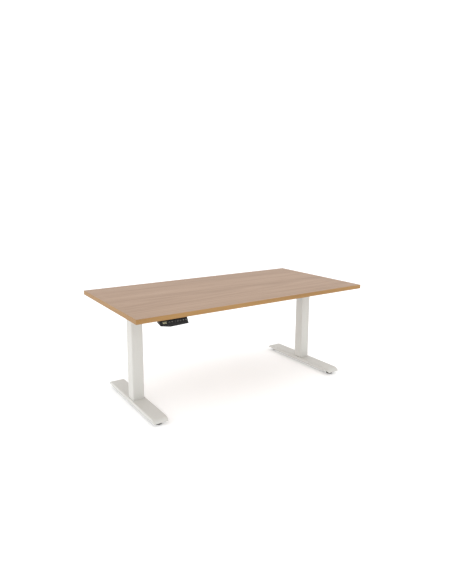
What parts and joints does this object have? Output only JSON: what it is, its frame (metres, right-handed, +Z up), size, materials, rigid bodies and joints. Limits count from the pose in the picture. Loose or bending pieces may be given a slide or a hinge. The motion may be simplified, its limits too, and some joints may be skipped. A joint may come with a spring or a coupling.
{
  "type": "height adjustable desk",
  "caption": "Electric height adjustable desk: rectangular wood-effect top on telescopic steel columns with long flat feet, and a handset under its front edge.",
  "frame": {"origin": "on the floor, under the middle of the whole desk's box at its lowest height", "axes": "+X along the desk's width to the sitter's right, +Y from the sitter towards the rear edge, +Z up"},
  "size_m": [1.6, 0.8114, 0.62],
  "materials": {
    "white_powder_coat": "warm white satin powder coat",
    "zinc_steel": "bright zinc plated steel",
    "nut_brass": "machined brass",
    "guide_plastic": "light grey moulded plastic",
    "black_plastic": "fine grained black plastic",
    "gloss_panel": "gloss black panel with pale marks",
    "display_lens": "smoked lens with a pale lit display",
    "button_plastic": "soft black keys with pale marks",
    "black_rubber": "black moulded rubber",
    "lead_sheath": "black sheathed lead",
    "motor_steel": "dark drawn steel can",
    "cast_alloy": "sand-blasted cast alloy",
    "circuit_green": "green circuit board",
    "wood_face": "oak-effect melamine, grain along the width",
    "wood_band": "warmer oak-effect edge band"
  },
  "bodies": {
    "base": {"foot_left": "white_powder_coat", "foot_right": "white_powder_coat", "outer_tube_left": "white_powder_coat", "outer_tube_right": "white_powder_coat", "outer_collar_left": "guide_plastic", "outer_collar_right": "guide_plastic", "spindle_sleeve_left": "zinc_steel", "spindle_sleeve_right": "zinc_steel", "lower_nut_left": "nut_brass", "lower_nut_right": "nut_brass"},
    "lift": {"inner_tube_left": "white_powder_coat", "inner_tube_right": "white_powder_coat", "side_bracket_left": "white_powder_coat", "side_bracket_right": "white_powder_coat", "side_rail_front_left": "white_powder_coat", "side_rail_front_right": "white_powder_coat", "side_rail_rear_left": "white_powder_coat", "side_rail_rear_right": "white_powder_coat", "centre_rail_front": "white_powder_coat", "centre_rail_rear": "white_powder_coat", "handset_shell": "black_plastic", "control_box": "black_plastic", "cable_saddle_left": "black_plastic", "cable_saddle_middle": "black_plastic", "handset_lead_clip": "black_plastic", "handset_panel": "gloss_panel", "handset_display": "display_lens", "handset_lead": "lead_sheath", "motor_lead_left": "lead_sheath", "motor_lead_right": "lead_sheath", "motor_left": "motor_steel", "motor_right": "motor_steel", "gear_head_left": "cast_alloy", "gear_head_right": "cast_alloy", "circuit_board": "circuit_green", "tabletop_board": "wood_face", "edge_band_front": "wood_band", "edge_band_rear": "wood_band", "edge_band_left": "wood_band", "edge_band_right": "wood_band"},
    "middle_left": {"middle_tube_left": "white_powder_coat", "middle_collar_left": "guide_plastic"},
    "lower_spindle_left": {"lower_spindle_left": "zinc_steel"},
    "upper_spindle_left": {"upper_spindle_left": "zinc_steel"},
    "middle_right": {"middle_tube_right": "white_powder_coat", "middle_collar_right": "guide_plastic"},
    "lower_spindle_right": {"lower_spindle_right": "zinc_steel"},
    "upper_spindle_right": {"upper_spindle_right": "zinc_steel"},
    "button_up": {"button_up": "button_plastic"},
    "button_down": {"button_down": "button_plastic"},
    "button_preset_1": {"button_preset_1": "button_plastic"},
    "button_preset_2": {"button_preset_2": "button_plastic"},
    "button_preset_3": {"button_preset_3": "button_plastic"},
    "button_preset_4": {"button_preset_4": "button_plastic"},
    "button_memory": {"button_memory": "button_plastic"},
    "glide_front_left": {"glide_front_left": "black_rubber"},
    "glide_front_right": {"glide_front_right": "black_rubber"},
    "glide_rear_left": {"glide_rear_left": "black_rubber"},
    "glide_rear_right": {"glide_rear_right": "black_rubber"}
  },
  "joints": [
    {"name": "desk_lift", "type": "slide", "parent": "base", "child": "lift", "axis": [0, 0, 1], "range_m": [0, 0.625]},
    {"name": "middle_stage_left", "type": "slide", "parent": "base", "child": "middle_left", "axis": [0, 0, 1], "range_m": [0, 0.3125]},
    {"name": "lower_spindle_turn_left", "type": "hinge", "parent": "middle_left", "child": "lower_spindle_left", "pos_m": [-0.647, -0.00633, 0.2], "axis": [0, 0, 1], "range_deg": [0, 5625]},
    {"name": "upper_spindle_turn_left", "type": "hinge", "parent": "lift", "child": "upper_spindle_left", "pos_m": [-0.647, -0.00633, 0.3], "axis": [0, 0, 1], "range_deg": [0, 11250]},
    {"name": "middle_stage_right", "type": "slide", "parent": "base", "child": "middle_right", "axis": [0, 0, 1], "range_m": [0, 0.3125]},
    {"name": "lower_spindle_turn_right", "type": "hinge", "parent": "middle_right", "child": "lower_spindle_right", "pos_m": [0.647, -0.00633, 0.2], "axis": [0, 0, 1], "range_deg": [0, 5625]},
    {"name": "upper_spindle_turn_right", "type": "hinge", "parent": "lift", "child": "upper_spindle_right", "pos_m": [0.647, -0.00633, 0.3], "axis": [0, 0, 1], "range_deg": [0, 11250]},
    {"name": "glide_front_left_screw", "type": "slide", "parent": "base", "child": "glide_front_left", "axis": [0, 0, -1], "range_m": [0, 0.008]},
    {"name": "glide_front_right_screw", "type": "slide", "parent": "base", "child": "glide_front_right", "axis": [0, 0, -1], "range_m": [0, 0.008]},
    {"name": "glide_rear_left_screw", "type": "slide", "parent": "base", "child": "glide_rear_left", "axis": [0, 0, -1], "range_m": [0, 0.008]},
    {"name": "glide_rear_right_screw", "type": "slide", "parent": "base", "child": "glide_rear_right", "axis": [0, 0, -1], "range_m": [0, 0.008]},
    {"name": "button_up_press", "type": "slide", "parent": "lift", "child": "button_up", "axis": [0, 0.8518, -0.5239], "range_m": [0, 0.0008], "stiffness_N_per_m": 600, "springref_m": -0.0012},
    {"name": "button_down_press", "type": "slide", "parent": "lift", "child": "button_down", "axis": [0, 0.8518, -0.5239], "range_m": [0, 0.0008], "stiffness_N_per_m": 600, "springref_m": -0.0012},
    {"name": "button_preset_1_press", "type": "slide", "parent": "lift", "child": "button_preset_1", "axis": [0, 0.8518, -0.5239], "range_m": [0, 0.0008], "stiffness_N_per_m": 600, "springref_m": -0.0012},
    {"name": "button_preset_2_press", "type": "slide", "parent": "lift", "child": "button_preset_2", "axis": [0, 0.8518, -0.5239], "range_m": [0, 0.0008], "stiffness_N_per_m": 600, "springref_m": -0.0012},
    {"name": "button_preset_3_press", "type": "slide", "parent": "lift", "child": "button_preset_3", "axis": [0, 0.8518, -0.5239], "range_m": [0, 0.0008], "stiffness_N_per_m": 600, "springref_m": -0.0012},
    {"name": "button_preset_4_press", "type": "slide", "parent": "lift", "child": "button_preset_4", "axis": [0, 0.8518, -0.5239], "range_m": [0, 0.0008], "stiffness_N_per_m": 600, "springref_m": -0.0012},
    {"name": "button_memory_press", "type": "slide", "parent": "lift", "child": "button_memory", "axis": [0, 0.8518, -0.5239], "range_m": [0, 0.0008], "stiffness_N_per_m": 600, "springref_m": -0.0012}
  ],
  "couplings": [
    {"joint": "middle_stage_left", "follows": "desk_lift", "ratio": 0.5},
    {"joint": "lower_spindle_turn_left", "follows": "desk_lift", "rad_per_m": 157.08},
    {"joint": "upper_spindle_turn_left", "follows": "desk_lift", "rad_per_m": 314.16},
    {"joint": "middle_stage_right", "follows": "desk_lift", "ratio": 0.5},
    {"joint": "lower_spindle_turn_right", "follows": "desk_lift", "rad_per_m": 157.08},
    {"joint": "upper_spindle_turn_right", "follows": "desk_lift", "rad_per_m": 314.16}
  ]
}
